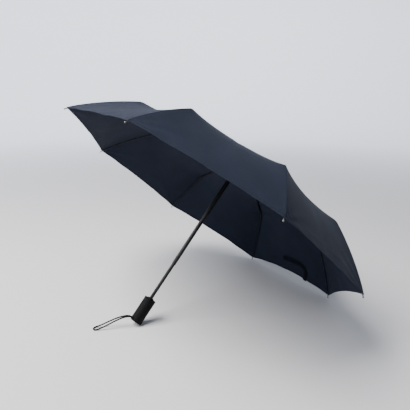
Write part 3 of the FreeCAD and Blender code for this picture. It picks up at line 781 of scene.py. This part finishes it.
def addCove():
    outline = [(0.0, 0.0), (stage["floorReach"], 0.0)]
    for i in range(1, stage["roundSteps"] + 1):
        angle = math.radians(90 * i / stage["roundSteps"])
        outline.append((stage["floorReach"] + stage["wallRound"] * math.sin(angle),
                        stage["wallRound"] * (1 - math.cos(angle))))
    outline.append((outline[-1][0], stage["wallTop"]))
    around = stage["around"]
    vertices = [(0, 0, 0)]
    for radius, height in outline[1:]:
        for i in range(around):
            turn = 2 * math.pi * i / around
            vertices.append((radius * math.cos(turn), radius * math.sin(turn), height))
    faces = [(0, 1 + i, 1 + (i + 1) % around) for i in range(around)]
    for ring in range(len(outline) - 2):
        for i in range(around):
            a, b = 1 + ring * around + i, 1 + ring * around + (i + 1) % around
            faces.append((a, a + around, b + around, b))
    mesh = bpy.data.meshes.new("cove")
    mesh.from_pydata(vertices, [], faces)
    mesh.polygons.foreach_set("use_smooth", [False] * around + [True] * (len(faces) - around))
    material, tree, shader = startMaterial("mattePaintedBoard", stage["board"], Roughness=0.85)
    grain = addNode(tree, "TexNoise", inputs={"Scale": 300.0, "Detail": 2.0})
    bump = addNode(tree, "Bump", inputs={"Height": grain.outputs["Fac"], "Strength": 0.1,
                                         "Distance": 0.2 * mm})
    tree.links.new(bump.outputs[0], shader.inputs["Normal"])
    addWallGlow(tree, shader)
    mesh.materials.append(material)
    addObject("cove", mesh)


# painted light: the cove glows softly towards its wall, brighter on one side as though lit there, and near
# the umbrella not at all
def addWallGlow(tree, shader):
    place = addNode(tree, "TexCoord")
    reached = addNode(tree, "VectorMath", {"operation": "LENGTH"}, {0: place.outputs["Object"]})
    towards = addNode(tree, "VectorMath", {"operation": "DOT_PRODUCT"},
                      {0: place.outputs["Object"], 1: (*stage["brightSide"], 0)})
    reach = stage["floorReach"] + stage["wallRound"]
    low, high = stage["glow"]
    side = addNode(tree, "MapRange", {"interpolation_type": "SMOOTHSTEP"},
                   {"Value": towards.outputs["Value"], "From Min": -reach * 0.9, "From Max": reach * 0.75,
                    "To Min": low, "To Max": high})
    rise = addNode(tree, "MapRange", {"interpolation_type": "SMOOTHSTEP"},
                   {"Value": reached.outputs["Value"], "From Min": stage["glowStart"], "From Max": reach})
    glow = addNode(tree, "Math", {"operation": "MULTIPLY"}, {0: side.outputs[0], 1: rise.outputs[0]})
    shader.inputs["Emission Color"].default_value = toLinear(stage["sky"])
    tree.links.new(glow.outputs[0], shader.inputs["Emission Strength"])


def addLight():
    world = bpy.data.worlds.new("studio")
    bpy.context.scene.world = world
    world.use_nodes = True
    sky = world.node_tree.nodes["Background"]
    sky.inputs["Color"].default_value = toLinear(stage["sky"])
    sky.inputs["Strength"].default_value = stage["skyStrength"]
    for name, place, colour, power, size in stage["lights"]:
        data = bpy.data.lights.new(name, "AREA")
        data.energy = power
        data.size = size
        data.color = toLinear(colour)[:3]
        lamp = addObject(name, data)
        lamp.location = place
        lamp.rotation_euler = (Vector(stage["aim"]) - Vector(place)).to_track_quat("-Z", "Y").to_euler()
    print("cove and lights set")


# what each kind of node is finished in; the first matching start counts
nodeFinishes = {
    "handle_pin": "drawnSteelWire", "handle": "mouldedAbs", "strap_eyelet": "mouldedAbs",
    "bottom_tube": "lacqueredTube", "middle_tube": "lacqueredTube", "top_tube": "lacqueredTube",
    "bottom_glide": "acetalBush", "middle_glide": "acetalBush", "middle_collar": "acetalBush",
    "top_collar": "acetalBush", "crown_wire": "drawnSteelWire", "crown": "mouldedNylon",
    "top_cap": "mouldedNylon", "runner_snap_ring": "drawnSteelWire", "runner": "mouldedNylon",
    "upper_rib": "lacqueredChannel", "middle_rib": "lacqueredChannel", "stretcher": "lacqueredChannel",
    "outer_rib": "lacqueredRod", "rib_tip": "nickelPlate",
}


def makeFinishes():
    return {
        # injection-moulded ABS with a spark-eroded texture: black, without any gleam
        "mouldedAbs": hardSurface("mouldedAbs", "#070708", "#101112", grain=0.7, depth=0.06,
                                  Roughness=0.62, IOR=1.5, Specular_IOR_Level=0.1),
        # moulded nylon straight from a smooth die: black with a soft gleam on its edges
        "mouldedNylon": hardSurface("mouldedNylon", "#08080a", "#121214", grain=0.9, depth=0.03,
                                    Roughness=0.48, IOR=1.53, Specular_IOR_Level=0.3),
        # turned acetal: dark grey and slightly waxy
        "acetalBush": hardSurface("acetalBush", "#101113", "#1a1b1d", grain=0.8, depth=0.02,
                                  Roughness=0.42, IOR=1.48, Specular_IOR_Level=0.35),
        # drawn steel tube under stoved black lacquer: long highlights that follow the tube
        "lacqueredTube": hardSurface("lacqueredTube", "#060607", "#131416", grain=0.5, depth=0.015,
                                     drawn=0.04, Roughness=0.4, IOR=1.5, Specular_IOR_Level=0.3),
        # pressed steel strip, barrel-lacquered black: duller, with thin worn spots
        "lacqueredChannel": hardSurface("lacqueredChannel", "#060607", "#141416", grain=0.8, depth=0.03,
                                        Roughness=0.42, IOR=1.5, Specular_IOR_Level=0.3),
        # spring-steel rod, dipped black: an even satin line
        "lacqueredRod": hardSurface("lacqueredRod", "#070708", "#141416", grain=0.6, depth=0.02,
                                    Roughness=0.46, IOR=1.5, Specular_IOR_Level=0.3),
        # bright drawn wire: fine lengthwise streaks
        "drawnSteelWire": hardSurface("drawnSteelWire", "#8f9093", "#6c6d70", grain=0.4, depth=0.01,
                                      Metallic=1.0, Roughness=0.35),
        # barrel-plated nickel on a pressed tip: a small soft silver point
        "nickelPlate": hardSurface("nickelPlate", "#6c6b6d", "#565557", grain=0.5, depth=0.01,
                                   Metallic=1.0, Roughness=0.38),
    }


def dressNodes(finishes):
    for name, item in frame["nodes"].items():
        finish = next((f for start, f in nodeFinishes.items() if name.startswith(start)), None)
        if finish:
            for slot in item.material_slots:
                slot.material = finishes[finish]
    print("frame parts finished")


addCamera()
addWristCord(braidedCord())
dressNodes(makeFinishes())
gores = makeGores()
pongeeCloth = wovenCloth("wovenPongee", pongee)
# the tie strap and the thread ties take the darker cloth, whose darkness is painted shade
tieFabricWithPaintedShade = wovenCloth("tieClothPaintedShade", tieClothWithPaintedShade)
addCanopy(gores, pongeeCloth)
addTie(gores[5], tieFabricWithPaintedShade)
addThreadTies(tieFabricWithPaintedShade)
addCove()
addLight()
